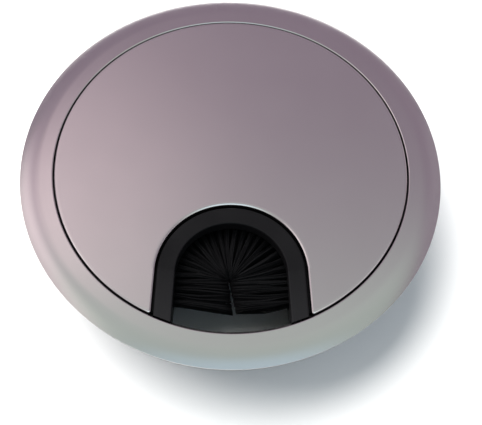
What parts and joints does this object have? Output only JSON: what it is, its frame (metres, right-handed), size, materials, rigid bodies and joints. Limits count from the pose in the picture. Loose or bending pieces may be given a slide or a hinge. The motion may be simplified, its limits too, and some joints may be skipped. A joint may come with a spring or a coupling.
{
  "type": "desk grommet",
  "caption": "Round metal desk grommet: flanged sleeve with a flush lift-out lid, whose U-shaped notch holds a black collar and a strip brush that closes round the cables.",
  "frame": {"origin": "on the sleeve's axis at the level of its foot, which stands on z = 0", "axes": "+Z along the sleeve's axis, up through the lid; the notch and the brush open towards -Y"},
  "size_m": [0.091, 0.091, 0.0202],
  "materials": {
    "plated_zinc": "die-cast zinc with a satin nickel plate",
    "frame_plastic": "fine-textured black moulded plastic",
    "bristle_nylon": "black nylon filament",
    "channel_steel": "galvanised steel strip and wire",
    "screw_steel": "bright zinc-plated steel",
    "seat_rubber": "black synthetic rubber"
  },
  "bodies": {
    "housing": {"flange_housing": "plated_zinc"},
    "seat": {"seat_ring": "seat_rubber"},
    "lid": {"lid_disc": "plated_zinc", "brush_frame": "frame_plastic", "brush_clamp": "frame_plastic", "brush_channel": "channel_steel", "brush_core_wire": "channel_steel", "bristle_roots": "bristle_nylon", "clamp_screw_1": "screw_steel", "clamp_screw_2": "screw_steel", "clamp_screw_3": "screw_steel", "clamp_screw_4": "screw_steel"},
    "bristles_right_rear": {"bristles_right_rear": "bristle_nylon"},
    "bristles_left_rear": {"bristles_left_rear": "bristle_nylon"},
    "bristles_right_front": {"bristles_right_front": "bristle_nylon"},
    "bristles_left_front": {"bristles_left_front": "bristle_nylon"},
    "bristles_arch_1": {"bristles_arch_1": "bristle_nylon"},
    "bristles_arch_2": {"bristles_arch_2": "bristle_nylon"},
    "bristles_arch_3": {"bristles_arch_3": "bristle_nylon"},
    "bristles_arch_4": {"bristles_arch_4": "bristle_nylon"},
    "bristles_arch_5": {"bristles_arch_5": "bristle_nylon"}
  },
  "joints": [
    {"name": "lid_turn", "type": "hinge", "parent": "housing", "child": "seat", "pos_m": [0, 0, 0.0172], "axis": [0, 0, 1], "continuous": true},
    {"name": "lid_lift", "type": "slide", "parent": "seat", "child": "lid", "axis": [0, 0, 1], "range_m": [0, 0.03]},
    {"name": "bend_right_rear", "type": "hinge", "parent": "lid", "child": "bristles_right_rear", "pos_m": [0.01146, -0.02654, 0.0154], "axis": [0.0489, -0.9988, 0], "range_deg": [-60, 60], "stiffness_Nm_per_rad": 0.003},
    {"name": "bend_left_rear", "type": "hinge", "parent": "lid", "child": "bristles_left_rear", "pos_m": [-0.01146, -0.02654, 0.0154], "axis": [0.0489, 0.9988, 0], "range_deg": [-60, 60], "stiffness_Nm_per_rad": 0.003},
    {"name": "bend_right_front", "type": "hinge", "parent": "lid", "child": "bristles_right_front", "pos_m": [0.01161, -0.02949, 0.0154], "axis": [0.0489, -0.9988, 0], "range_deg": [-60, 60], "stiffness_Nm_per_rad": 0.003},
    {"name": "bend_left_front", "type": "hinge", "parent": "lid", "child": "bristles_left_front", "pos_m": [-0.01161, -0.02949, 0.0154], "axis": [0.0489, 0.9988, 0], "range_deg": [-60, 60], "stiffness_Nm_per_rad": 0.003},
    {"name": "bend_arch_1", "type": "hinge", "parent": "lid", "child": "bristles_arch_1", "pos_m": [0.0102, -0.02174, 0.0154], "axis": [0.346, -0.9383, 0], "range_deg": [-60, 60], "stiffness_Nm_per_rad": 0.003},
    {"name": "bend_arch_2", "type": "hinge", "parent": "lid", "child": "bristles_arch_2", "pos_m": [0.00622, -0.01658, 0.0154], "axis": [0.8204, -0.5719, 0], "range_deg": [-60, 60], "stiffness_Nm_per_rad": 0.003},
    {"name": "bend_arch_3", "type": "hinge", "parent": "lid", "child": "bristles_arch_3", "pos_m": [0, -0.01462, 0.0154], "axis": [1, 0, 0], "range_deg": [-60, 60], "stiffness_Nm_per_rad": 0.003},
    {"name": "bend_arch_4", "type": "hinge", "parent": "lid", "child": "bristles_arch_4", "pos_m": [-0.00622, -0.01658, 0.0154], "axis": [0.8204, 0.5719, 0], "range_deg": [-60, 60], "stiffness_Nm_per_rad": 0.003},
    {"name": "bend_arch_5", "type": "hinge", "parent": "lid", "child": "bristles_arch_5", "pos_m": [-0.0102, -0.02174, 0.0154], "axis": [0.346, 0.9383, 0], "range_deg": [-60, 60], "stiffness_Nm_per_rad": 0.003}
  ]
}
